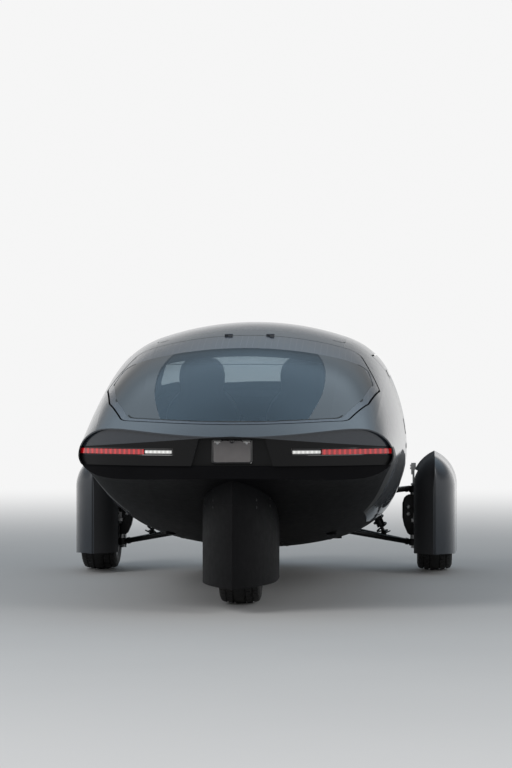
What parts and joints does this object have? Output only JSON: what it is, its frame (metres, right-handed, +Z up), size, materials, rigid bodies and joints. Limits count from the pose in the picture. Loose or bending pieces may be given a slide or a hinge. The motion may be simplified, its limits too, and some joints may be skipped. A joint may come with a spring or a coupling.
{
  "type": "three wheeled car",
  "caption": "Teardrop solar car with front wheels in outboard pants, one rear wheel in a keel, opening doors and glass hatch",
  "frame": {"origin": "on the ground, under the middle of the overall box", "axes": "+X the car's right, +Y forward, +Z up"},
  "size_m": [2.237, 4.37, 1.4399],
  "materials": {
    "paint": "gloss clear coat over near black blue grey",
    "solar": "glossy solar cell laminate",
    "black_composite": "satin black composite",
    "glazing": "dark tinted glass",
    "clear_lens": "clear lens over white diffuser",
    "red_lens": "red lens",
    "plate_metal": "blank plate",
    "battery_metal": "cast and folded case",
    "trim": "grained dark trim",
    "display_glass": "gloss black screen",
    "seat_cover": "woven dark cover",
    "black_steel": "satin black coating",
    "bare_alloy": "machined",
    "wheel_alloy": "grey painted",
    "tyre": "tread rubber"
  },
  "bodies": {
    "body": {"body_shell": "paint", "belly_pan": "black_composite", "nose_bumper": "paint", "hood": "solar", "windscreen": "glazing", "roof_panel": "solar", "headlamps": "clear_lens", "tail_fascia": "black_composite", "tail_lamps": "red_lens", "reverse_lamps": "clear_lens", "number_plate": "plate_metal", "keel": "black_composite", "wheel_cover": "black_composite", "lower_arms": "black_steel", "upper_arms": "bare_alloy", "dampers": "black_steel", "swing_arm": "black_steel", "battery_pack": "battery_metal", "cabin_floor": "trim", "luggage_deck": "trim", "seat_right": "seat_cover", "seat_left": "seat_cover", "dashboard": "trim", "display": "display_glass", "steering_column": "trim"},
    "hatch": {"hatch_frame": "paint", "hatch_glass": "glazing"},
    "right_door": {"door_right": "paint", "door_glass_right": "glazing"},
    "left_door": {"door_left": "paint", "door_glass_left": "glazing"},
    "steering": {"steering_yoke": "trim"},
    "right_knuckle": {"knuckle_right": "bare_alloy", "pant_right": "paint"},
    "left_knuckle": {"knuckle_left": "bare_alloy", "pant_left": "paint"},
    "right_wheel": {"rim_right": "wheel_alloy", "tyre_right": "tyre"},
    "left_wheel": {"rim_left": "wheel_alloy", "tyre_left": "tyre"},
    "rear_wheel": {"rim_rear": "wheel_alloy", "tyre_rear": "tyre"}
  },
  "joints": [
    {"name": "right_steer", "type": "hinge", "parent": "body", "child": "right_knuckle", "pos_m": [0.862, 1.385, 0.319], "axis": [0, 0, 1], "range_deg": [-22, 22]},
    {"name": "left_steer", "type": "hinge", "parent": "body", "child": "left_knuckle", "pos_m": [-0.862, 1.385, 0.319], "axis": [0, 0, 1], "range_deg": [-22, 22]},
    {"name": "yoke_turn", "type": "hinge", "parent": "body", "child": "steering", "pos_m": [-0.272, 0.56, 0.835], "axis": [0, -0.9659, 0.2588], "range_deg": [-110, 110]},
    {"name": "right_wheel_spin", "type": "hinge", "parent": "right_knuckle", "child": "right_wheel", "pos_m": [0.985, 1.385, 0.305], "axis": [1, 0, 0], "continuous": true},
    {"name": "left_wheel_spin", "type": "hinge", "parent": "left_knuckle", "child": "left_wheel", "pos_m": [-0.985, 1.385, 0.305], "axis": [1, 0, 0], "continuous": true},
    {"name": "rear_wheel_spin", "type": "hinge", "parent": "body", "child": "rear_wheel", "pos_m": [0, -1.365, 0.305], "axis": [1, 0, 0], "continuous": true},
    {"name": "hatch_hinge", "type": "hinge", "parent": "body", "child": "hatch", "pos_m": [0, -0.614, 1.358], "axis": [-1, 0, 0], "range_deg": [0, 60]},
    {"name": "right_door_hinge", "type": "hinge", "parent": "body", "child": "right_door", "pos_m": [0.758, 0.79401, 0.68], "axis": [0, 0, 1], "range_deg": [0, 65]},
    {"name": "left_door_hinge", "type": "hinge", "parent": "body", "child": "left_door", "pos_m": [-0.758, 0.79401, 0.68], "axis": [0, 0, -1], "range_deg": [0, 65]}
  ],
  "couplings": [
    {"joint": "left_steer", "follows": "right_steer", "ratio": 1},
    {"joint": "yoke_turn", "follows": "right_steer", "ratio": 5}
  ]
}
